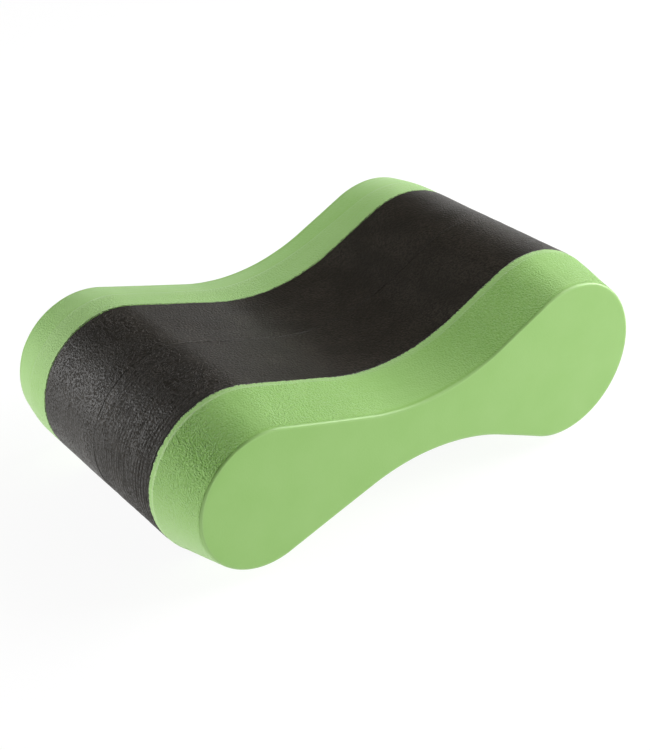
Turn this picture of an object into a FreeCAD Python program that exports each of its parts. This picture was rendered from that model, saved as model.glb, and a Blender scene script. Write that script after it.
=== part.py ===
"""Laminated foam pull buoy: four foam blocks glued side by side, all cut to one peanut-shaped profile.

Frame: the buoy lies on its two lobes. The origin is at the middle of its footprint, +Z is up,
+X points to the large lobe, and Y runs across the laminations, with the left side at +Y.
Lengths are in millimetres.
"""

import FreeCAD, Part
import math
import os

import Sketcher

SIZES = {
    "overall_length": 230.0,  # from end to end, along X
    "large_lobe_radius": 40.5,
    "small_lobe_radius": 35.0,
    "waist_height": 33.6,  # thinnest place between the lobes
    "waist_shift": 2.0,  # from midway between the lobes' centres, towards the small lobe
    "large_flank_length": 26.3,  # straight stretch between the large lobe and the hollow
    "small_flank_length": 42.6,  # straight stretch between the small lobe and the hollow
    "core_width": 40.7,  # each of the two dark core blocks, along Y
    "side_width": 27.4,  # each of the two green side blocks, along Y
    "bond_thickness": 0.3,  # each film of adhesive between two blocks
    "bond_recess": 0.4,  # how far a film's edge lies below the foam
    "right_land": 3.0,  # full-height strip beside the right seam, before the bevel
    "right_drop": 5.2,  # how far the right bevel comes in by the outer face
    "left_land": 14.0,
    "left_drop": 2.2,
    "ridge_radius": 12.0,  # soft ridge between the land and the bevel
    "face_edge_radius": 1.0,  # edge round each outer face
    "seam_edge_radius": 0.4,  # sanded edge of each block at a seam
}

# Sketcher's names for the points of a line or an arc
START, END, CENTRE = 1, 2, 3
ORIGIN = (-1, 1)
FLAT = 1e-4  # an edge whose Y extent is under this lies in a plane across Y


def make_sheet(doc):
    """Puts every driving dimension into a spreadsheet, under its own name."""
    sheet = doc.addObject("Spreadsheet::Sheet", "Sizes")
    for row, (alias, value) in enumerate(SIZES.items(), start=1):
        sheet.set(f"A{row}", alias)
        sheet.set(f"B{row}", str(value))
        sheet.setAlias(f"B{row}", alias)
    return sheet


def arc(centre, start, end):
    """The arc about centre that runs anticlockwise from start to end."""
    circle = Part.Circle(centre, FreeCAD.Vector(0, 0, 1), (start - centre).Length)
    return Part.ArcOfCircle(circle, circle.parameter(start), circle.parameter(end))


def quarter(lobe, lobe_radius, waist, half_height, flank_length, up):
    """One quarter of the outline: where the flank leaves the lobe, where it meets the hollow's arc,
    the arc's centre, and the thinnest place of the waist, on the side that up points to.

    With run the distance from the lobe's centre to the waist, a flank of that length touches both
    circles when (run^2 + half_height^2 - lobe_radius^2 - flank_length^2) is the hollow's radius
    times twice (lobe_radius - half_height).
    """
    run = (waist - lobe).Length
    spare = run**2 + half_height**2 - lobe_radius**2 - flank_length**2
    hollow = spare / (2 * (lobe_radius - half_height))
    centre = waist + up * (half_height + hollow)
    across = centre - lobe
    turn = math.atan2(flank_length, lobe_radius + hollow)
    away = (lobe - waist).dot(FreeCAD.Vector(up.y, -up.x, 0)) > 0
    turn = -turn if away else turn
    normal = FreeCAD.Rotation(FreeCAD.Vector(0, 0, 1), math.degrees(turn)).multVec(across)
    normal.normalize()
    return lobe + normal * lobe_radius, centre - normal * hollow, centre, waist + up * half_height


def first_outline(inset):
    """The outline's arcs and lines near where the constraints will hold them, and two guide lines."""
    half_length = SIZES["overall_length"] / 2
    large_radius = SIZES["large_lobe_radius"]
    small_radius = SIZES["small_lobe_radius"]
    large = FreeCAD.Vector(half_length - large_radius, large_radius, 0)
    small = FreeCAD.Vector(small_radius - half_length, small_radius, 0)
    along = (large - small).normalize()
    up = FreeCAD.Vector(-along.y, along.x, 0)
    waist = (large + small) / 2 - along * SIZES["waist_shift"]
    half_height = SIZES["waist_height"] / 2 - inset
    large_end = (large, large_radius - inset, waist, half_height, SIZES["large_flank_length"])
    small_end = (small, small_radius - inset, waist, half_height, SIZES["small_flank_length"])
    large_top, large_bend, large_hollow, top = quarter(*large_end, up)
    small_top, small_bend, small_hollow, _ = quarter(*small_end, up)
    small_low, small_low_bend, small_low_hollow, low = quarter(*small_end, -up)
    large_low, large_low_bend, large_low_hollow, _ = quarter(*large_end, -up)
    outline = [
        arc(large, large_low, large_top),
        Part.LineSegment(large_top, large_bend),
        arc(large_hollow, top, large_bend),
        arc(small_hollow, small_bend, top),
        Part.LineSegment(small_bend, small_top),
        arc(small, small_top, small_low),
        Part.LineSegment(small_low, small_low_bend),
        arc(small_low_hollow, low, small_low_bend),
        arc(large_low_hollow, large_low_bend, low),
        Part.LineSegment(large_low_bend, large_low),
    ]
    guides = [Part.LineSegment(small, large), Part.LineSegment(low, top)]
    return outline, guides


def make_profile(body, name, offset, inset_alias=None):
    """The peanut outline, standing on both lobes, in a sketch across Y at the given offset."""
    sketch = body.newObject("Sketcher::SketchObject", name)
    plane = next(f for f in body.Origin.OriginFeatures if f.Role == "XZ_Plane")
    sketch.AttachmentSupport = [(plane, "")]
    sketch.MapMode = "FlatFace"
    sketch.setExpression("AttachmentOffset.Base.z", offset)

    outline, guides = first_outline(SIZES[inset_alias] if inset_alias else 0.0)
    curves = sketch.addGeometry(outline, False)
    large, large_flank, large_hollow, small_hollow, small_flank = curves[:5]
    small, small_low_flank, small_low_hollow, large_low_hollow, large_low_flank = curves[5:]
    middle, cross = sketch.addGeometry(guides, True)

    joints = [
        (large, END, large_flank, START),
        (large_flank, END, large_hollow, END),
        (large_hollow, START, small_hollow, END),
        (small_hollow, START, small_flank, START),
        (small_flank, END, small, START),
        (small, END, small_low_flank, START),
        (small_low_flank, END, small_low_hollow, END),
        (small_low_hollow, START, large_low_hollow, END),
        (large_low_hollow, START, large_low_flank, START),
        (large_low_flank, END, large, START),
    ]
    for joint in joints:
        sketch.addConstraint(Sketcher.Constraint("Tangent", *joint))
    ties = [
        ("Coincident", middle, START, small, CENTRE),
        ("Coincident", middle, END, large, CENTRE),
        ("Coincident", cross, START, large_low_hollow, END),
        ("Coincident", cross, END, large_hollow, START),
        ("Symmetric", cross, START, cross, END, middle),
        ("PointOnObject", large_hollow, CENTRE, cross),
        ("PointOnObject", large_low_hollow, CENTRE, cross),
        ("Equal", large_flank, large_low_flank),
        ("Equal", small_flank, small_low_flank),
    ]
    for tie in ties:
        sketch.addConstraint(Sketcher.Constraint(*tie))

    less = f" - Sizes.{inset_alias}" if inset_alias else ""
    less_twice = f" - 2 * Sizes.{inset_alias}" if inset_alias else ""
    half = "Sizes.overall_length / 2"
    run = "(Sizes.overall_length - Sizes.large_lobe_radius - Sizes.small_lobe_radius)"
    rise = "(Sizes.large_lobe_radius - Sizes.small_lobe_radius)"
    driven = [
        ("large_radius", ("Radius", large), "Sizes.large_lobe_radius" + less),
        ("small_radius", ("Radius", small), "Sizes.small_lobe_radius" + less),
        ("large_place", ("DistanceX", *ORIGIN, large, CENTRE), half + " - Sizes.large_lobe_radius"),
        ("small_place", ("DistanceX", small, CENTRE, *ORIGIN), half + " - Sizes.small_lobe_radius"),
        ("large_rest", ("DistanceY", *ORIGIN, large, CENTRE), "Sizes.large_lobe_radius"),
        ("small_rest", ("DistanceY", *ORIGIN, small, CENTRE), "Sizes.small_lobe_radius"),
        ("waist", ("Distance", cross), "Sizes.waist_height" + less_twice),
        (
            "waist_place",
            ("Distance", large, CENTRE, cross),
            f"sqrt({run}^2 + {rise}^2) / 2 + Sizes.waist_shift",
        ),
        ("large_straight", ("Distance", large_flank), "Sizes.large_flank_length"),
        ("small_straight", ("Distance", small_flank), "Sizes.small_flank_length"),
    ]
    for label, (kind, *where), size in driven:
        first_value = body.Document.Sizes.evalExpression(size.replace("Sizes.", ""))
        index = sketch.addConstraint(Sketcher.Constraint(kind, *where, first_value))
        sketch.renameConstraint(index, label)
        sketch.setExpression(f"Constraints.{label}", size)
    return sketch


def rim(shape, y):
    """The names of the edges that lie in the plane across Y at y."""
    names = []
    for number, edge in enumerate(shape.Edges, start=1):
        box = edge.BoundBox
        if box.YLength < FLAT and abs(box.Center.y - y) < FLAT:
            names.append(f"Edge{number}")
    return names


def make_slab(doc, name, label, start, width, inset_alias=None):
    """A body with the outline padded across Y, from start towards -Y."""
    body = doc.addObject("PartDesign::Body", name)
    body.Label = label
    sketch = make_profile(body, name + "Profile", start, inset_alias)
    pad = body.newObject("PartDesign::Pad", name + "Pad")
    pad.Profile = sketch
    pad.setExpression("Length", f"Sizes.{width}")
    sketch.Visibility = False
    doc.recompute()
    return body, pad


def round_rim(body, name, base, y, radius):
    """Rounds the edges of a body that lie in the plane across Y at y."""
    fillet = body.newObject("PartDesign::Fillet", name)
    fillet.Base = (base, rim(base.Shape, y))
    fillet.setExpression("Radius", f"Sizes.{radius}")
    body.Document.recompute()
    return fillet


def make_core_block(doc, name, label, start):
    """A dark core block: the plain outline, with a sanded edge at both of its seams."""
    body, pad = make_slab(doc, name, label, start, "core_width")
    box = pad.Shape.BoundBox
    right_seam = round_rim(body, name + "RightSeamEdge", pad, box.YMin, "seam_edge_radius")
    round_rim(body, name + "LeftSeamEdge", right_seam, box.YMax, "seam_edge_radius")
    return body


def make_side_block(doc, name, label, start, side, land, drop):
    """A green side block: a land beside the seam, a soft ridge, and a bevel down to the outer face."""
    body, pad = make_slab(doc, name, label, start, "side_width")
    box = pad.Shape.BoundBox
    face_y, seam_y = (box.YMax, box.YMin) if side > 0 else (box.YMin, box.YMax)
    ridge_y = seam_y + side * SIZES[land]

    bevel = body.newObject("PartDesign::Chamfer", name + "Bevel")
    bevel.ChamferType = "Two distances"
    bevel.Base = (pad, rim(pad.Shape, face_y))
    bevel.setExpression("Size", f"Sizes.{drop}")
    bevel.setExpression("Size2", f"Sizes.side_width - Sizes.{land}")
    doc.recompute()
    if not rim(bevel.Shape, ridge_y):
        bevel.FlipDirection = True
        doc.recompute()

    ridge = round_rim(body, name + "Ridge", bevel, ridge_y, "ridge_radius")
    face_edge = round_rim(body, name + "FaceEdge", ridge, face_y, "face_edge_radius")
    round_rim(body, name + "SeamEdge", face_edge, seam_y, "seam_edge_radius")
    return body


def make_bond_line(doc, name, label, start):
    """A film of adhesive between two blocks, its edge a little below the foam."""
    body, _ = make_slab(doc, name, label, start, "bond_thickness", "bond_recess")
    return body


def check(doc, parts):
    """Stops if any object failed, or any sub-part isn't one valid solid."""
    for item in doc.Objects:
        if "Invalid" in item.State or "Error" in item.State:
            raise RuntimeError(f"{item.Name} failed: {item.State}")
    for part in parts:
        shape = part.Shape
        if shape.isNull() or not shape.isValid() or len(shape.Solids) != 1:
            raise RuntimeError(f"{part.Label} isn't one valid solid")


def main():
    doc = FreeCAD.newDocument("PullBuoy")
    make_sheet(doc)
    doc.recompute()

    # A sketch across Y faces -Y, so its offset is minus the Y of the plane where its pad starts.
    half_bond = "Sizes.bond_thickness / 2"
    core_outside = half_bond + " + Sizes.core_width"
    core_and_bond = core_outside + " + Sizes.bond_thickness"
    overall_half = core_and_bond + " + Sizes.side_width"
    parts = [
        make_side_block(
            doc, "LeftSide", "left_side_block", f"-({overall_half})", 1, "left_land", "left_drop"
        ),
        make_bond_line(doc, "LeftBond", "left_bond_line", f"-({core_and_bond})"),
        make_core_block(doc, "LeftCore", "left_core_block", f"-({core_outside})"),
        make_bond_line(doc, "CentreBond", "centre_bond_line", f"-({half_bond})"),
        make_core_block(doc, "RightCore", "right_core_block", half_bond),
        make_bond_line(doc, "RightBond", "right_bond_line", core_outside),
        make_side_block(
            doc, "RightSide", "right_side_block", core_and_bond, -1, "right_land", "right_drop"
        ),
    ]
    doc.recompute()
    check(doc, parts)

    os.makedirs("parts", exist_ok=True)
    for part in parts:
        part.Shape.exportStep(f"parts/{part.Label}.step")
        box = part.Shape.BoundBox
        print(
            f"{part.Label}: X {box.XMin:.2f} to {box.XMax:.2f}, Y {box.YMin:.2f} to {box.YMax:.2f},"
            f" Z {box.ZMin:.2f} to {box.ZMax:.2f}, {part.Shape.Volume / 1000:.2f} cm3"
        )


main()
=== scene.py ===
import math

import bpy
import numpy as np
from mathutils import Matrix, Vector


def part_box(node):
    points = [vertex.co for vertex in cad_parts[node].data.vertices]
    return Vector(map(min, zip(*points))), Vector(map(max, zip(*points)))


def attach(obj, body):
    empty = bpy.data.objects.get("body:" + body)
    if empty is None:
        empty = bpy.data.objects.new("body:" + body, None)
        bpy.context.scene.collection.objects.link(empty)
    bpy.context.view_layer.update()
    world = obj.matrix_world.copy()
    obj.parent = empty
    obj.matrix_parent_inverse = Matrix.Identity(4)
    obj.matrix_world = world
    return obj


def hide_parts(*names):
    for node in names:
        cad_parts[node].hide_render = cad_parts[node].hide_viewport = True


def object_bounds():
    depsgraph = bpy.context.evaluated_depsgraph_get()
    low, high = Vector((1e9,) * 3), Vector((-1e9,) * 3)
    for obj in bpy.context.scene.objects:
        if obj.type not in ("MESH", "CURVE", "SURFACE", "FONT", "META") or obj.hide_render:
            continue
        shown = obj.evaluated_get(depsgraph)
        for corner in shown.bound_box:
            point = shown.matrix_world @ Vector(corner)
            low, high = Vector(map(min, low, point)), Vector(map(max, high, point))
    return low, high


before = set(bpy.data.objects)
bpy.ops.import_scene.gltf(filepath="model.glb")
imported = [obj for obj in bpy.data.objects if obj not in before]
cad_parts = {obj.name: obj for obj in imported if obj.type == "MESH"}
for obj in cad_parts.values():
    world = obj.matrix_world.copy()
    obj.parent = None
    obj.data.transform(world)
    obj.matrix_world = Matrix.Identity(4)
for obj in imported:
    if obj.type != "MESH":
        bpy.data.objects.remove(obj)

# The looks of a swimmer's pull buoy: four blocks of closed-cell foam, green, black, black and green, glued
# face to face and sawn to one waisted outline. Each block is a profile carried round that outline, in metres,
# in the same frame as the solid model: X runs from the small lobe to the large one, Y across the layers, and
# Z up.

MM = 0.001
CAD_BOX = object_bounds()

# ---------------------------------------------------------------- sizes

CORE_LOW, CORE_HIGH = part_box("right_core_block")
LENGTH = CORE_HIGH.x - CORE_LOW.x
LARGE_LOBE_RADIUS = (CORE_HIGH.z - CORE_LOW.z) / 2
SMALL_LOBE_RADIUS = 35.0 * MM
LOBES_APART = LENGTH - LARGE_LOBE_RADIUS - SMALL_LOBE_RADIUS
WAIST_HEIGHT = 33.6 * MM
WAIST_SHIFT = 2.0 * MM        # from midway between the lobes towards the small one
LARGE_FLANK = 26.3 * MM       # straight run beside the large lobe
SMALL_FLANK = 42.6 * MM       # straight run beside the small lobe

OUTLINE_STEPS = 24000         # steps of the running sum that draws the outline
CORE_AROUND, CORE_ACROSS = 640, 0.30 * MM
SIDE_AROUND, SIDE_ACROSS = 720, 0.33 * MM
FILM_AROUND = 640
FACE_ROWS = 4                 # rows of faces across each flat face
FACE_BORDER = (0.6 * MM, 3.0 * MM)

SEAM_ROUND = 0.22 * MM        # the foam's edge at a green seam
CENTRE_ROUND = SEAM_ROUND / 6    # and at the seam down the middle
FACE_ROUND = 0.8 * MM         # the edge of an outer face
FACE_EDGE = 0.25 * MM         # how far in from an outer face its glossy edge is centred
STRAY_ACROSS = 2 * MM         # how far in from a seam its stray is felt, across the rim
STRAY_DEEP = 3 * MM           # and how far below the surface
CORE_SINK, SIDE_SINK = 0.12 * MM, 0.15 * MM     # room below the outline for the rim's relief
BEAD_WIDTH = 0.42 * MM        # of the line that the sander leaves


# ---------------------------------------------------------------- outline

def outline_turns():
    """Distances along the outline and the direction of its outward normal at each, from the centre line.

    Each hollow's radius is the one whose straight flank has its named length: with run the distance from the
    waist to the lobe's centre, it is (run^2 + half waist^2 - lobe^2 - flank^2) / (2 (lobe - half waist)).
    Along a round stretch the normal turns evenly; along a flank it holds. The underside mirrors the top."""
    half = WAIST_HEIGHT / 2
    spacing = math.hypot(LOBES_APART, LARGE_LOBE_RADIUS - SMALL_LOBE_RADIUS)
    lengths, angles = [], []
    for lobe, flank, run in ((LARGE_LOBE_RADIUS, LARGE_FLANK, spacing / 2 + WAIST_SHIFT),
                             (SMALL_LOBE_RADIUS, SMALL_FLANK, spacing / 2 - WAIST_SHIFT)):
        hollow = (run ** 2 + half ** 2 - lobe ** 2 - flank ** 2) / (2 * (lobe - half))
        slope = math.atan2(half + hollow, -run) - math.atan2(flank, lobe + hollow)
        lengths.append([lobe * slope, flank, hollow * (slope - math.pi / 2)])
        angles.append([0.0, slope, slope, math.pi / 2])
    top = lengths[0] + lengths[1][::-1]
    turn = angles[0] + [math.pi - a for a in angles[1][::-1][1:]]
    distance = np.concatenate([[0.0], np.cumsum(top + top[::-1])])
    normal = np.array(turn + [2 * math.pi - a for a in turn[::-1][1:]])
    return distance, normal


TURN_AT, TURN_TO = outline_turns()
AROUND = TURN_AT[-1]
TILT = math.atan2(LARGE_LOBE_RADIUS - SMALL_LOBE_RADIUS, LOBES_APART)


def outline(count):
    """count points evenly along the outline, from the large lobe's tip over the top and back underneath.

    The normal's angle a is read from outline_turns, the line heads along (-sin a, cos a), and a point is the
    running sum of the headings. Gives the distance along, the points (x, z) and the outward normals."""
    fine = np.linspace(0.0, AROUND, OUTLINE_STEPS + 1)
    angle = np.interp(fine, TURN_AT, TURN_TO) + TILT
    heading = np.stack([-np.sin(angle), np.cos(angle)], axis=1)
    step = (heading[1:] + heading[:-1]) / 2 * (AROUND / OUTLINE_STEPS)
    start = np.array([CORE_HIGH.x - LARGE_LOBE_RADIUS + LARGE_LOBE_RADIUS * math.cos(TILT),
                      CORE_LOW.z + LARGE_LOBE_RADIUS + LARGE_LOBE_RADIUS * math.sin(TILT)])
    line = start + np.concatenate([[[0.0, 0.0]], np.cumsum(step, axis=0)])
    along = np.arange(count) * AROUND / count
    points = np.stack([np.interp(along, fine, line[:, k]) for k in (0, 1)], axis=1)
    angle = np.interp(along, fine, angle)
    return along, points, np.stack([np.cos(angle), np.sin(angle)], axis=1)


# ---------------------------------------------------------------- surfaces

def smooth(x):
    """0 below 0, 1 above 1, and 3 x^2 - 2 x^3 between."""
    x = np.clip(x, 0.0, 1.0)
    return x * x * (3.0 - 2.0 * x)


def bell(x):
    """exp(-x^2), a rounded bump one unit wide."""
    return np.exp(-x * x)


def uneven(along, across, step_along, step_across, seed):
    """Noise from -1 to 1 on the developed surface: random values on a lattice, blended smoothly between
    neighbours. The lattice closes on itself round the outline."""
    columns = max(3, round(AROUND / step_along))
    rows = int(np.ptp(across) / step_across) + 3
    lattice = np.random.default_rng(seed).uniform(-1.0, 1.0, (columns, rows))
    a = along / AROUND * columns
    b = (across - across.min()) / step_across
    i, j = np.floor(a).astype(int), np.floor(b).astype(int)
    fa, fb = smooth(a - i), smooth(b - j)
    i, k = i % columns, (i + 1) % columns
    low = lattice[i, j] * (1 - fa) + lattice[k, j] * fa
    high = lattice[i, j + 1] * (1 - fa) + lattice[k, j + 1] * fa
    return low * (1 - fb) + high * fb


def rim_rows(width, first_round, last_round, spacing):
    """Rows across a block's rim: the distance from its first face, and the depth below the outline.

    Even rows in the middle; at each edge a quarter circle of that radius; then two rows on the flat face, so
    that the face shades flat up to its edge. Also gives a mask, 1 on the rim and 0 on the faces."""
    quarter = np.linspace(0.0, math.pi / 2, 6)
    middle = np.linspace(first_round, width - last_round, max(2, round(width / spacing)))[1:-1]
    border = np.array(FACE_BORDER)
    place = np.concatenate([np.zeros(2), first_round * (1 - np.cos(quarter)), middle,
                            width - last_round * (1 - np.cos(quarter[::-1])), np.full(2, width)])
    depth = np.concatenate([first_round + border[::-1], first_round * (1 - np.sin(quarter)), 0 * middle,
                            last_round * (1 - np.sin(quarter[::-1])), last_round + border])
    mask = np.concatenate([[0, 0], smooth(quarter / quarter[-1]), np.ones(len(middle)),
                           smooth(quarter[::-1] / quarter[-1]), [0, 0]])
    return place, depth, mask


def seam_wander(along, seam):
    """How far a seam strays in Y as it runs round the outline. Both blocks and the film between follow it."""
    fine = 0.17 * uneven(along, 0 * along, 1.7 * MM, 1.0, seam)
    slow = (0.10 * uneven(along, 0 * along, 5 * MM, 1.0, seam + 1)
            + 0.08 * uneven(along, 0 * along, 40 * MM, 1.0, seam + 2))
    return MM * (fine + slow)


def closed_block(name, first_y, towards, count, place, depth, marks):
    """A closed mesh: rim point = outline point - outline normal x depth, at Y = first_y + towards x place.

    place and depth are grids (rows across, points round). Each flat face is filled with straight rows between
    the outline's upper half and its mirror image below. marks are named shares kept at the points."""
    _, line, normal = outline(count)
    rows = depth.shape[0]
    rim = np.empty((rows, count, 3))
    rim[:, :, 0] = line[:, 0] - normal[:, 0] * depth
    rim[:, :, 1] = first_y + towards * place
    rim[:, :, 2] = line[:, 1] - normal[:, 1] * depth
    index = np.arange(rows * count).reshape(rows, count)
    beside = np.roll(index, -1, axis=1)
    quads = [np.stack([index[:-1], beside[:-1], beside[1:], index[1:]], axis=-1).reshape(-1, 4)]
    triangles, points = [], [rim.reshape(-1, 3)]
    half, used = count // 2, rows * count
    share = np.arange(1, FACE_ROWS)[:, None, None] / FACE_ROWS
    for row, flip in ((0, False), (rows - 1, True)):
        upper, lower = rim[row, 1:half], rim[row, :half:-1]
        inner = upper + (lower - upper) * share
        grid = np.empty((FACE_ROWS + 1, half + 1), int)
        grid[:, 0], grid[:, half] = index[row, 0], index[row, half]
        grid[0, 1:half], grid[-1, 1:half] = index[row, 1:half], index[row, :half:-1]
        grid[1:-1, 1:half] = used + np.arange(inner[..., 0].size).reshape(inner.shape[:2])
        used += inner[..., 0].size
        cells = np.stack([grid[:-1, :-1], grid[1:, :-1], grid[1:, 1:], grid[:-1, 1:]], axis=-1)
        ends = np.concatenate([cells[:, 0][:, [0, 2, 3]], cells[:, -1][:, [0, 1, 2]]])
        cells = cells[:, 1:-1].reshape(-1, 4)
        quads.append(cells[:, ::-1] if flip else cells)
        triangles.append(ends[:, ::-1] if flip else ends)
        points.append(inner.reshape(-1, 3))
    quads, triangles, points = np.concatenate(quads), np.concatenate(triangles), np.concatenate(points)
    if towards > 0:
        quads, triangles = quads[:, ::-1], triangles[:, ::-1]
    mesh = bpy.data.meshes.new(name)
    mesh.from_pydata(points.tolist(), [], quads.tolist() + triangles.tolist())
    mesh.polygons.foreach_set("use_smooth", np.ones(len(mesh.polygons), bool))
    for mark, values in marks.items():
        layer = mesh.attributes.new(mark, "FLOAT", "POINT")
        filled = np.zeros(len(points), np.float32)
        filled[:rows * count] = np.broadcast_to(values, (rows, count)).ravel()
        layer.data.foreach_set("value", filled)
    mesh.update()
    piece = bpy.data.objects.new(name, mesh)
    bpy.context.scene.collection.objects.link(piece)
    return piece


def ragged(along, seed):
    """How far a seam's edge is chipped at each point: mostly little, with a few deep nicks."""
    fine = uneven(along, 0 * along, 1.8 * MM, 1.0, seed)
    slow = uneven(along, 0 * along, 22.0 * MM, 1.0, seed + 1)
    return 0.25 * (1 + slow) + 1.3 * np.clip(fine + 0.25 * slow - 0.45, 0.0, 1.0)


# ---------------------------------------------------------------- foam blocks

SMALL_END = (CORE_LOW.x + 52 * MM, CORE_LOW.x + 24 * MM)     # where saw marks start and are full
LARGE_END = (CORE_HIGH.x - 52 * MM, CORE_HIGH.x - 26 * MM)
SAW_DEPTH = 0.11 * MM
LINE_SPACING = 1.8 * MM       # of the even lines among the saw's uneven ones
PIT_DEPTH = 4 * MM            # for each unit by which the noise passes its limit, at most 0.1


def saw_share(x, across, seed):
    """Where the saw rubbed the foam: fully on the small lobe, less on the large one, in uneven bands."""
    small = smooth((x - SMALL_END[0]) / (SMALL_END[1] - SMALL_END[0]))
    large = 0.30 * smooth((x - LARGE_END[0]) / (LARGE_END[1] - LARGE_END[0]))
    band = uneven(0 * across, across, 1.0, 5.5 * MM, seed)
    return (small + large) * (0.75 + 0.25 * band)


def strayed(place, depth, along, seams):
    """The rows' places with each seam's stray added: all of it at the seam, fading to none across the rim and
    below the surface. seams gives, for the first and last face, the seam's number and direction."""
    rows = place[:, None] + 0 * along
    width = place[-1]
    for distance, (seam, sign) in ((place, seams[0]), (width - place, seams[1])):
        if seam:
            reach = np.clip(1 - distance / STRAY_ACROSS, 0, 1) ** 2
            shallow = np.clip(1 - depth / STRAY_DEEP, 0, 1)
            rows += sign * (reach * shallow)[:, None] * seam_wander(along, seam)
    return rows


def core_block(name, towards, seed, seams, scored):
    """A black block: its rim is the outline, scored by the saw in lines that run round it.

    The lines are the size of a noise that is long round the outline and narrow across, so that they are
    round ridges with narrow grooves where the noise crosses zero. In patches an even ripple across the rim,
    which strays with the same wander, adds lines at a regular spacing. scored is how strongly they show. A
    few small pits lie among them, where another noise is at its highest."""
    low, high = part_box(name)
    first = low.y if towards > 0 else high.y
    place, depth, mask = rim_rows(high.y - low.y, CENTRE_ROUND, SEAM_ROUND, CORE_ACROSS)
    along, line, _ = outline(CORE_AROUND)
    s, t = np.meshgrid(along, place)
    wander = 0.6 * MM * uneven(s, t, 34 * MM, 14 * MM, seed)
    saw = saw_share(line[:, 0], t, seed + 1) * mask[:, None]
    coarse = np.abs(uneven(s, t + wander, 13 * MM, 1.05 * MM, seed + 2))
    fine = uneven(s, t + wander, 7 * MM, 0.62 * MM, seed + 3)
    patch = np.clip(0.45 + 0.5 * uneven(s, t, 30 * MM, 9 * MM, seed + 8), 0, 1)
    ripple = patch * np.cos(2 * math.pi * (t + 1.5 * wander) / LINE_SPACING)
    groove = np.maximum(smooth(1 - coarse / 0.22), smooth(-2.6 * ripple - 0.3))
    groove = groove * np.clip(saw, 0, 1) * scored
    pits = np.clip(uneven(s, t, 1.9 * MM, 1.1 * MM, seed + 7) - 0.9, 0, 1) * saw
    waves = (0.11 * MM * uneven(s, t, 30 * MM, 12 * MM, seed + 4)
             + 0.04 * MM * uneven(s, t, 9 * MM, 5 * MM, seed + 5))
    chips = 1 + 2.2 * ragged(s, seed + 6)
    lines = SAW_DEPTH * saw * scored * (1.6 * coarse - 1.0 + 0.7 * fine + 0.9 * ripple)
    relief = mask[:, None] * (waves + lines - PIT_DEPTH * pits)
    edge = depth[:, None] * np.where(mask[:, None] > 0, chips, 1.0)
    total = np.maximum(edge + CORE_SINK * mask[:, None] - relief, 0.0)
    marks = {"saw": saw, "groove": groove, "scored": saw * scored}
    rows = strayed(place, depth, along, seams)
    return closed_block(name + "_foam", first, towards, CORE_AROUND, rows, total, marks)


def side_block(name, towards, seed, seams, land, drop, waist_drop, ridge, lip, grain):
    """A green block: level beside the seam for land, then sanded down towards its outer face by drop.

    Depth = fall x the soft ramp of (distance from the seam - land), where the soft ramp of x is
    (x + sqrt(x^2 + ridge^2)) / 2. lip is the height of the faint line that the sander leaves at the ridge.
    grain is the share of cut foam that shows: most where the outline leans, less where it is steepest, at the
    waist and on the worn end of the small lobe."""
    low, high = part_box(name)
    first = low.y if towards > 0 else high.y
    width = high.y - low.y
    place, depth, mask = rim_rows(width, SEAM_ROUND, FACE_ROUND, SIDE_ACROSS)
    along, line, normal = outline(SIDE_AROUND)
    s, t = np.meshgrid(along, place)
    near_waist = bell((line[:, 0] + 5 * MM) / (42 * MM))
    fall = drop + (waist_drop - drop) * near_waist
    edge_at = land * (1 + 0.22 * uneven(along, 0 * along, 62 * MM, 1.0, seed))
    past = t - edge_at
    ramp = (past + np.sqrt(past ** 2 + ridge ** 2)) / 2 - (np.sqrt(edge_at ** 2 + ridge ** 2) - edge_at) / 2
    bevel = np.maximum(fall * ramp / (width - edge_at), 0.0)
    sharp = 0.2 + 0.8 * smooth((line[:, 0] + 45 * MM) / (-30 * MM))
    bead = lip * sharp * bell(past / BEAD_WIDTH) * (0.6 + 0.4 * uneven(s, 0 * t, 9 * MM, 1.0, seed + 1))
    waves = (0.10 * MM * uneven(s, t, 26 * MM, 10 * MM, seed + 2)
             + 0.05 * MM * uneven(s, t, 8 * MM, 5 * MM, seed + 3))
    scores = 0.03 * MM * uneven(s, t + 0.12 * s, 30 * MM, 1.3 * MM, seed + 4)
    chips = 1 + 1.6 * ragged(s, seed + 5) * (t < width / 2)
    relief = mask[:, None] * (waves + scores + bead)
    edge = depth[:, None] * np.where(mask[:, None] > 0, chips, 1.0)
    total = np.maximum(edge + bevel + SIDE_SINK * mask[:, None] - relief, 0.0)
    # The small lobe's end: the grain is fainter there from wear, and the colour gets a painted sheen.
    wear_and_sheen = bell((along - AROUND / 2 - 12 * MM) / (26 * MM))
    # Beside the seam: the colour gets a painted sheen there.
    strip = mask[:, None] * smooth(-past / (1.0 * MM) + 0.5)
    # The glossy rounded edge of the outer face; the colour also gets a painted highlight there.
    edge_round = np.clip(1.2 - np.abs(t - (width - FACE_EDGE)) / (0.6 * MM), 0, 1)
    edge_round = edge_round * np.clip(1 - (depth[:, None] - FACE_ROUND) / (0.5 * MM), 0, 1)
    steep = np.abs(normal[:, 0])
    cut = grain * (0.10 + 1.35 * steep) * (1 - 0.5 * smooth((steep - 0.6) / 0.3))
    cut = cut * (1 - 0.65 * wear_and_sheen) * (1 - 0.5 * near_waist)
    marks = {"strip": strip, "cut": cut * mask[:, None] * (1 - strip) * (1 - edge_round), "edge": edge_round,
             "wear_and_sheen": wear_and_sheen * mask[:, None] * (1 - edge_round),
             # Painted shade: a band just inside the outer face's edge, mixed towards a deeper green.
             "painted_rim_shade": bell((width - 1.4 * MM - t) / (0.8 * MM)),
             # Painted highlight: the bead's line is mixed towards a paler green.
             "bead": (lip > 0) * sharp * bell(past / BEAD_WIDTH) * mask[:, None],
             "brink": np.clip(1 - t / (0.8 * MM), 0, 1) * mask[:, None]}
    rows = strayed(place, depth, along, seams)
    return closed_block(name + "_foam", first, towards, SIDE_AROUND, rows, total, marks)


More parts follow.
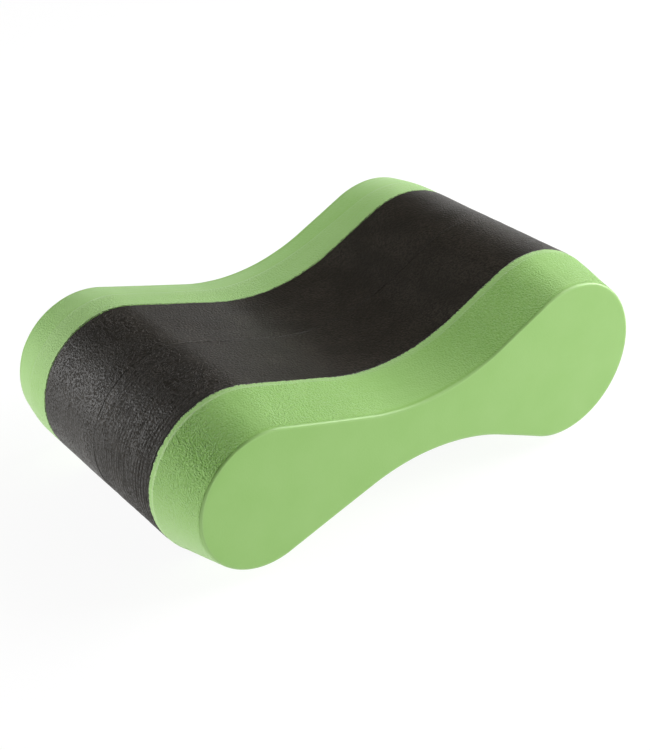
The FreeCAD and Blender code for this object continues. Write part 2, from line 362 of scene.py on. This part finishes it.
def bond_film(name, seed, seam, shallow, deep):
    """A film of adhesive as wide as its gap. Its rim lies unevenly between shallow and deep below the
    outline, and is fullest at the waist."""
    low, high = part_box(name)
    width = high.y - low.y
    place = width * np.array([0.0, 0.0, 0.25, 0.5, 0.75, 1.0, 1.0])
    body = np.array([3.0, 0.3, 0.06, 0.0, 0.06, 0.3, 3.0]) * MM
    along, line, _ = outline(FILM_AROUND)
    slow = uneven(along, 0 * along, 17 * MM, 1.0, seed)
    fine = uneven(along, 0 * along, 2.2 * MM, 1.0, seed + 1)
    recess = np.clip((shallow + deep) / 2 + (deep - shallow) * (0.35 * slow + 0.3 * fine), shallow, deep)
    recess = shallow + (recess - shallow) * (1 - 0.8 * bell((line[:, 0] + 8 * MM) / (26 * MM)))
    stray = np.clip(1 - body / STRAY_DEEP, 0, 1)[:, None] * seam_wander(along, seam)
    rows = place[:, None] + stray
    return closed_block(name + "_film", low.y, 1, FILM_AROUND, rows, body[:, None] + recess, {})


# ---------------------------------------------------------------- shader helpers

def put(tree, kind, inputs=None, **settings):
    """Adds a node, sets its properties, and fills its inputs with values or with links from other nodes."""
    made = tree.nodes.new(kind)
    for key, value in settings.items():
        setattr(made, key, value)
    for key, value in (inputs or {}).items():
        if isinstance(value, bpy.types.NodeSocket):
            tree.links.new(value, made.inputs[key])
        else:
            made.inputs[key].default_value = value
    return made


def math_node(tree, operation, first, second=0.0, clamp=False):
    """One Math node's result."""
    return put(tree, "ShaderNodeMath", {0: first, 1: second}, operation=operation, use_clamp=clamp).outputs[0]


def linear(tree, value, factor, offset, clamp=False):
    """value x factor + offset."""
    made = math_node(tree, "MULTIPLY_ADD", value, factor, clamp)
    made.node.inputs[2].default_value = offset
    return made


def group(name, inputs, outputs):
    """A new shader node group with named number inputs, and its input and output nodes."""
    tree = bpy.data.node_groups.new(name, "ShaderNodeTree")
    for label, value in inputs.items():
        socket = tree.interface.new_socket(label, in_out="INPUT", socket_type="NodeSocketFloat")
        socket.default_value = value
    for label in outputs:
        tree.interface.new_socket(label, in_out="OUTPUT", socket_type="NodeSocketFloat")
    return tree, tree.nodes.new("NodeGroupInput").outputs, tree.nodes.new("NodeGroupOutput").inputs


def use(tree, made, **inputs):
    """Places a node group in a material with its own values and gives its outputs."""
    values = {key.replace("_", " "): value for key, value in inputs.items()}
    return put(tree, "ShaderNodeGroup", values, node_tree=made).outputs


def cell_grain():
    """The skin of cut closed-cell foam: rounded cells, Cells of them in a metre, with finer grit on them.

    Height is the cells' relief, Speck a random share as fine as the cells, and Pits marks open cells."""
    tree, given, result = group("cell_grain", {"Cells": 1000.0, "Grit": 0.4}, ("Height", "Speck", "Pits"))
    place = put(tree, "ShaderNodeTexCoord").outputs["Object"]
    soft = put(tree, "ShaderNodeTexNoise", {"Vector": place, "Scale": given["Cells"], "Detail": 2.0})
    cells = put(tree, "ShaderNodeTexVoronoi", {"Vector": place, "Scale": given["Cells"], "Smoothness": 0.6},
                feature="SMOOTH_F1")
    grit_scale = math_node(tree, "MULTIPLY", given["Cells"], 2.7)
    grit = put(tree, "ShaderNodeTexNoise", {"Vector": place, "Scale": grit_scale, "Detail": 1.0})
    dome = math_node(tree, "SUBTRACT", 1.0, cells.outputs["Distance"])
    mixed = math_node(tree, "MULTIPLY_ADD", soft.outputs["Fac"], 0.8)
    tree.links.new(dome, mixed.node.inputs[2])
    fine = math_node(tree, "MULTIPLY", grit.outputs["Fac"], given["Grit"])
    tree.links.new(math_node(tree, "ADD", mixed, fine), result["Height"])
    tree.links.new(soft.outputs["Fac"], result["Speck"])
    tree.links.new(linear(tree, soft.outputs["Fac"], 9.0, -4.6, clamp=True), result["Pits"])
    return tree


def saw_streaks():
    """Lines that run round the outline: noise stretched along X and Z and fine across Y, in dashes."""
    tree, given, result = group("saw_streaks", {"Lines": 1400.0, "Length": 45.0}, ("Height",))
    place = put(tree, "ShaderNodeTexCoord").outputs["Object"]
    length = given["Length"]
    scale = put(tree, "ShaderNodeCombineXYZ", {"X": length, "Y": given["Lines"], "Z": length})
    stretched = put(tree, "ShaderNodeVectorMath", {0: place, 1: scale.outputs[0]}, operation="MULTIPLY")
    lines = put(tree, "ShaderNodeTexNoise",
                {"Vector": stretched.outputs[0], "Scale": 1.0, "Detail": 2.0, "Roughness": 0.6})
    tree.links.new(lines.outputs["Fac"], result["Height"])
    return tree


def patches():
    """Broad soft patches, from 0 to 1, as handling and sanding leave on foam."""
    tree, given, result = group("patches", {"Scale": 60.0, "Contrast": 2.0}, ("Share",))
    place = put(tree, "ShaderNodeTexCoord").outputs["Object"]
    noise = put(tree, "ShaderNodeTexNoise", {"Vector": place, "Scale": given["Scale"], "Detail": 4.0})
    centred = linear(tree, noise.outputs["Fac"], 1.0, -0.5)
    spread = linear(tree, math_node(tree, "MULTIPLY", centred, given["Contrast"]), 1.0, 0.5, clamp=True)
    tree.links.new(spread, result["Share"])
    return tree


def material(name, **constants):
    """A new material with its Principled shader, whose plain values are set on its own sockets."""
    made = bpy.data.materials.new(name)
    made.use_nodes = True
    shader = made.node_tree.nodes["Principled BSDF"]
    for key, value in constants.items():
        shader.inputs[key.replace("_", " ")].default_value = value
    return made, made.node_tree, shader


def mix_colour(tree, share, first, second):
    """Blends two colours by a share."""
    made = put(tree, "ShaderNodeMix", {"Factor": share}, data_type="RGBA")
    for slot, value in ((6, first), (7, second)):
        if isinstance(value, bpy.types.NodeSocket):
            tree.links.new(value, made.inputs[slot])
        else:
            made.inputs[slot].default_value = (*value, 1.0)
    return made.outputs[2]


def mark_of(tree, name):
    """The share that a mesh keeps at its points under that name."""
    return put(tree, "ShaderNodeAttribute", attribute_name=name).outputs["Fac"]


# ---------------------------------------------------------------- finishes

GREEN = (0.335, 0.630, 0.155)
GREEN_LIGHT = (0.365, 0.655, 0.180)
# Painted shade: a deeper green for the cut foam's cell hollows and for a band inside the outer face's edge.
GREEN_PAINTED_SHADE = (0.200, 0.490, 0.035)
# Painted sheen on rubbed foam: a paler grey-green beside the seam and on the small lobe's end.
GREEN_WORN_SHEEN = (0.410, 0.615, 0.260)
# Painted highlight: a paler green for the outer face's glossy edge and the sander's ridge line.
GREEN_PAINTED_HIGHLIGHT = (0.560, 0.790, 0.370)
BLACK = (0.0150, 0.0122, 0.0080)
BLACK_DUSTY = (0.0465, 0.0390, 0.0300)
GLUE = (0.008, 0.006, 0.004)
GLUE_DUSTY = (0.020, 0.015, 0.010)


def green_foam(grain, broad):
    """Bright green foam: smooth skin on the outer face, orange-peel grain where the rim was cut and sanded.

    Beside the seam and on the small lobe's worn end, the colour goes paler and greyer: rubbed foam, with
    painted sheen.
    A thin pale line at the sander's ridge is a painted highlight. The skin is glossier where it rolls over
    the face's edge, with a painted highlight in a paler green on that edge and painted shade in a deeper
    green band just inside it. The cut foam's cell hollows are painted shade in a deeper green. Black crumbs
    cling along the seam."""
    made, tree, shader = material("green_foam_finish", IOR=1.46, Sheen_Weight=0.30, Sheen_Roughness=0.5)
    cells = use(tree, grain, Cells=1380.0, Grit=0.4)
    soft = use(tree, broad, Scale=55.0, Contrast=2.2)["Share"]
    cut, strip, edge = mark_of(tree, "cut"), mark_of(tree, "strip"), mark_of(tree, "edge")
    tone = mix_colour(tree, soft, GREEN, GREEN_LIGHT)
    # Painted shade: where the cut foam's cells are low, the colour goes to a deeper green.
    hollow = linear(tree, cells["Height"], -2.2, 3.2, clamp=True)
    deep = math_node(tree, "MULTIPLY", hollow, linear(tree, cut, 0.75, 0.0))
    # Painted shade: the band inside the outer face's edge goes to a deeper green.
    painted_rim_shade = linear(tree, mark_of(tree, "painted_rim_shade"), 0.45, 0.0)
    tone = mix_colour(tree, math_node(tree, "MAXIMUM", deep, painted_rim_shade), tone, GREEN_PAINTED_SHADE)
    # Painted highlight: a paler green along the outer face's rounded edge.
    tone = mix_colour(tree, linear(tree, edge, 0.20, 0.0), tone, GREEN_PAINTED_HIGHLIGHT)
    # Painted sheen: beside the seam and on the small lobe's end, the colour goes paler and greyer, on foam
    # that is also rubbed there.
    wear_and_sheen = linear(tree, mark_of(tree, "wear_and_sheen"), 0.35, 0.0)
    rubbed_sheen = math_node(tree, "MAXIMUM", linear(tree, strip, 0.20, 0.0), wear_and_sheen)
    tone = mix_colour(tree, rubbed_sheen, tone, GREEN_WORN_SHEEN)
    # Painted highlight: a thin pale line along the sander's ridge.
    tone = mix_colour(tree, linear(tree, mark_of(tree, "bead"), 0.55, 0.0), tone, GREEN_PAINTED_HIGHLIGHT)
    brink = mark_of(tree, "brink")
    crumb = math_node(tree, "ADD", brink, linear(tree, cells["Speck"], 3.4, -2.3))
    near = linear(tree, brink, 6.0, 0.0, clamp=True)
    crumb = math_node(tree, "MULTIPLY", linear(tree, crumb, 7.0, 0.0, clamp=True), near)
    tone = mix_colour(tree, crumb, tone, BLACK)
    tree.links.new(tone, shader.inputs["Base Color"])
    tree.links.new(linear(tree, edge, -0.28, 0.6), shader.inputs["Roughness"])
    amount = linear(tree, math_node(tree, "MAXIMUM", cut, linear(tree, strip, 0.25, 0.0)), 2.0, 0.05)
    amount = math_node(tree, "MULTIPLY", amount, linear(tree, edge, -0.9, 1.0))
    height = math_node(tree, "MULTIPLY", cells["Height"], amount)
    bump = put(tree, "ShaderNodeBump", {"Height": height, "Strength": 1.0, "Distance": 0.40 * MM})
    tree.links.new(bump.outputs[0], shader.inputs["Normal"])
    return made


def black_foam(grain, streaks, broad):
    """Black foam: near-black with a dusty brown bloom in patches, and rubbed shiny where the saw ran.

    The ridges between the saw's lines are shiny, and the grooves and open cells are dull. The grooves also
    get less of the bloom: painted shade that darkens them."""
    made, tree, shader = material("black_foam_finish", IOR=1.44)
    cells = use(tree, grain, Cells=1150.0, Grit=0.25)
    lines = use(tree, streaks, Lines=1300.0, Length=330.0)["Height"]
    soft = use(tree, broad, Scale=70.0, Contrast=3.0)["Share"]
    saw, groove = mark_of(tree, "saw"), mark_of(tree, "groove")
    grit = linear(tree, cells["Speck"], 6.0, -2.5, clamp=True)
    # Painted shade: the saw's grooves get less of the dusty bloom, so they are darker.
    bloom = math_node(tree, "MULTIPLY", linear(tree, soft, 0.7, 0.3), linear(tree, groove, -0.8, 1.0))
    tone = mix_colour(tree, math_node(tree, "MULTIPLY", bloom, grit), BLACK, BLACK_DUSTY)
    tree.links.new(tone, shader.inputs["Base Color"])
    scored = mark_of(tree, "scored")
    rubbed_sheen = math_node(tree, "ADD", linear(tree, saw, -0.16, 0.46), linear(tree, scored, 0.05, 0.0))
    open_cells = math_node(tree, "MULTIPLY", cells["Pits"], saw)
    dull = math_node(tree, "MAXIMUM", linear(tree, groove, 0.55, 0.0), linear(tree, open_cells, 0.60, 0.0))
    tree.links.new(math_node(tree, "ADD", rubbed_sheen, dull), shader.inputs["Roughness"])
    ridges = math_node(tree, "MULTIPLY", lines, linear(tree, scored, 0.85, 0.0))
    peel = math_node(tree, "MULTIPLY", cells["Height"], linear(tree, saw, 0.24, 0.33))
    height = math_node(tree, "ADD", math_node(tree, "ADD", peel, ridges), linear(tree, open_cells, -0.9, 0.0))
    bump = put(tree, "ShaderNodeBump", {"Height": height, "Strength": 1.0, "Distance": 0.45 * MM})
    tree.links.new(bump.outputs[0], shader.inputs["Normal"])
    return made


def adhesive(broad):
    """Dark contact adhesive, a little shinier than the foam, dulled in patches."""
    made, tree, shader = material("adhesive_finish", IOR=1.5, Roughness=0.55)
    soft = use(tree, broad, Scale=300.0, Contrast=2.5)["Share"]
    tree.links.new(mix_colour(tree, soft, GLUE, GLUE_DUSTY), shader.inputs["Base Color"])
    return made


# ---------------------------------------------------------------- pieces

GRAIN, STREAKS, BROAD = cell_grain(), saw_streaks(), patches()
GREEN_FINISH = green_foam(GRAIN, BROAD)
BLACK_FINISH = black_foam(GRAIN, STREAKS, BROAD)
BOND_FINISH = adhesive(BROAD)


def settle(piece, node, finish):
    """Gives a piece its finish and its slot, and hides the plain solid that it stands for."""
    piece.data.materials.append(finish)
    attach(piece, "root")
    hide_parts(node)


def foam(piece, node, finish):
    """The same for a block of foam."""
    settle(piece, node, finish)


LEFT_SEAM, CENTRE_SEAM, RIGHT_SEAM, OPEN = 201, 211, 221, (0, 0)

foam(core_block("left_core_block", 1, 11, ((CENTRE_SEAM, 1), (LEFT_SEAM, 1)), 0.3),
     "left_core_block", BLACK_FINISH)
foam(core_block("right_core_block", -1, 31, ((CENTRE_SEAM, -1), (RIGHT_SEAM, -1)), 1.0),
     "right_core_block", BLACK_FINISH)
foam(side_block("left_side_block", 1, 51, ((LEFT_SEAM, 1), OPEN),
                land=14 * MM, drop=2.2 * MM, waist_drop=2.0 * MM, ridge=4.0 * MM, lip=0.0, grain=0.3),
     "left_side_block", GREEN_FINISH)
foam(side_block("right_side_block", -1, 71, ((RIGHT_SEAM, -1), OPEN),
                land=3.0 * MM, drop=5.5 * MM, waist_drop=4.5 * MM, ridge=0.8 * MM, lip=0.20 * MM, grain=1.0),
     "right_side_block", GREEN_FINISH)
for node, seed, seam, shallow, deep in (("left_bond_line", 91, LEFT_SEAM, 0.15 * MM, 0.7 * MM),
                                        ("centre_bond_line", 96, CENTRE_SEAM, 0.12 * MM, 0.7 * MM),
                                        ("right_bond_line", 101, RIGHT_SEAM, 0.15 * MM, 0.7 * MM)):
    settle(bond_film(node, seed, seam, shallow, deep), node, BOND_FINISH)


# ---------------------------------------------------------------- floor, light and camera

FLOOR_HALF = 4.0
FLOOR_SHADE = 0.13              # its grey
FLOOR_GLOW = 0.92               # how strongly it glows


def floor():
    """A plain pale table top that glows a little, as a lit white sweep does."""
    made, tree, shader = material("floor_finish", Roughness=0.9, Specular_IOR_Level=0.0)
    shader.inputs["Base Color"].default_value = (FLOOR_SHADE, FLOOR_SHADE, FLOOR_SHADE, 1.0)
    shader.inputs["Emission Color"].default_value = (1.0, 1.0, 1.0, 1.0)
    shader.inputs["Emission Strength"].default_value = FLOOR_GLOW
    corners = FLOOR_HALF * np.array([(-1, -1, 0), (1, -1, 0), (1, 1, 0), (-1, 1, 0)], float)
    mesh = bpy.data.meshes.new("floor")
    mesh.from_pydata(corners.tolist(), [], [(0, 1, 2, 3)])
    mesh.materials.append(made)
    piece = bpy.data.objects.new("floor", mesh)
    bpy.context.scene.collection.objects.link(piece)


def direction(turn, rise):
    """The unit vector towards a place turn degrees round from the front to the right and rise degrees up."""
    turn, rise = math.radians(turn), math.radians(rise)
    return Vector((math.sin(turn) * math.cos(rise), -math.cos(turn) * math.cos(rise), math.sin(rise)))


def softbox(name, aim, turn, rise, distance, size, power):
    """A square soft light that faces a point from that direction and distance."""
    lamp = bpy.data.lights.new(name, "AREA")
    lamp.shape, lamp.size, lamp.energy = "SQUARE", size, power
    holder = bpy.data.objects.new(name, lamp)
    holder.location = aim + direction(turn, rise) * distance
    holder.rotation_euler = (-direction(turn, rise)).to_track_quat("-Z", "Y").to_euler()
    holder.visible_camera = False
    bpy.context.scene.collection.objects.link(holder)


SOFTBOXES = (
    # name, turn from the front, rise, distance, size, power
    ("key_right", 74, 27, 0.90, 0.8, 11.6),
    ("key_right_high", 35, 50, 1.3, 0.8, 2.2),
    ("right_low", 90, 15, 2.0, 1.2, 7.4),
    ("left_low", -110, 10, 2.0, 1.2, 13.5),
    ("back_left_low", -140, 11, 2.0, 1.2, 20.0),
    ("back_low", 160, 5, 2.0, 1.2, 0.6),
    ("back_right_low", 132, 4, 2.0, 0.7, 1.6),
    ("back_high", -135, 45, 2.0, 1.2, 0.9),
)
WORLD_LIGHT = 0.02              # how bright the surround is as a light
WORLD_SEEN = 0.94               # and as a backdrop, level with the far floor


def studio(middle):
    """Soft lights round the object and a dim even surround, which the camera sees as white."""
    for name, turn, rise, distance, size, power in SOFTBOXES:
        softbox(name, middle, turn, rise, distance, size, power)
    world = bpy.data.worlds.new("surround")
    world.use_nodes = True
    tree = world.node_tree
    sky = tree.nodes["Background"]
    seen = put(tree, "ShaderNodeLightPath").outputs["Is Camera Ray"]
    level = linear(tree, seen, WORLD_SEEN - WORLD_LIGHT, WORLD_LIGHT)
    sky.inputs["Color"].default_value = (1.0, 1.0, 1.0, 1.0)
    tree.links.new(level, sky.inputs["Strength"])
    bpy.context.scene.world = world


LENS, SENSOR = 70.2, 36.0
CAMERA_TURN, CAMERA_RISE, CAMERA_ROLL = -36.397, 29.864, math.radians(-0.698)
CAMERA_DISTANCE = 0.62618
AIM_OFFSET = Vector((-4.72, -2.69, -8.66)) * MM


def camera(middle):
    """A camera looking down at the middle from the small lobe's near corner, rolled a little."""
    data = bpy.data.cameras.new("camera")
    data.lens, data.sensor_width = LENS, SENSOR
    back = direction(CAMERA_TURN, CAMERA_RISE)
    turn = (-back).to_track_quat("-Z", "Y").to_matrix().to_4x4() @ Matrix.Rotation(CAMERA_ROLL, 4, "Z")
    holder = bpy.data.objects.new("camera", data)
    holder.matrix_world = Matrix.Translation(middle + AIM_OFFSET + back * CAMERA_DISTANCE) @ turn
    bpy.context.scene.collection.objects.link(holder)
    bpy.context.scene.camera = holder


MIDDLE = (CAD_BOX[0] + CAD_BOX[1]) / 2
floor()
studio(MIDDLE)
camera(MIDDLE)
bpy.context.scene.view_settings.view_transform = "Standard"
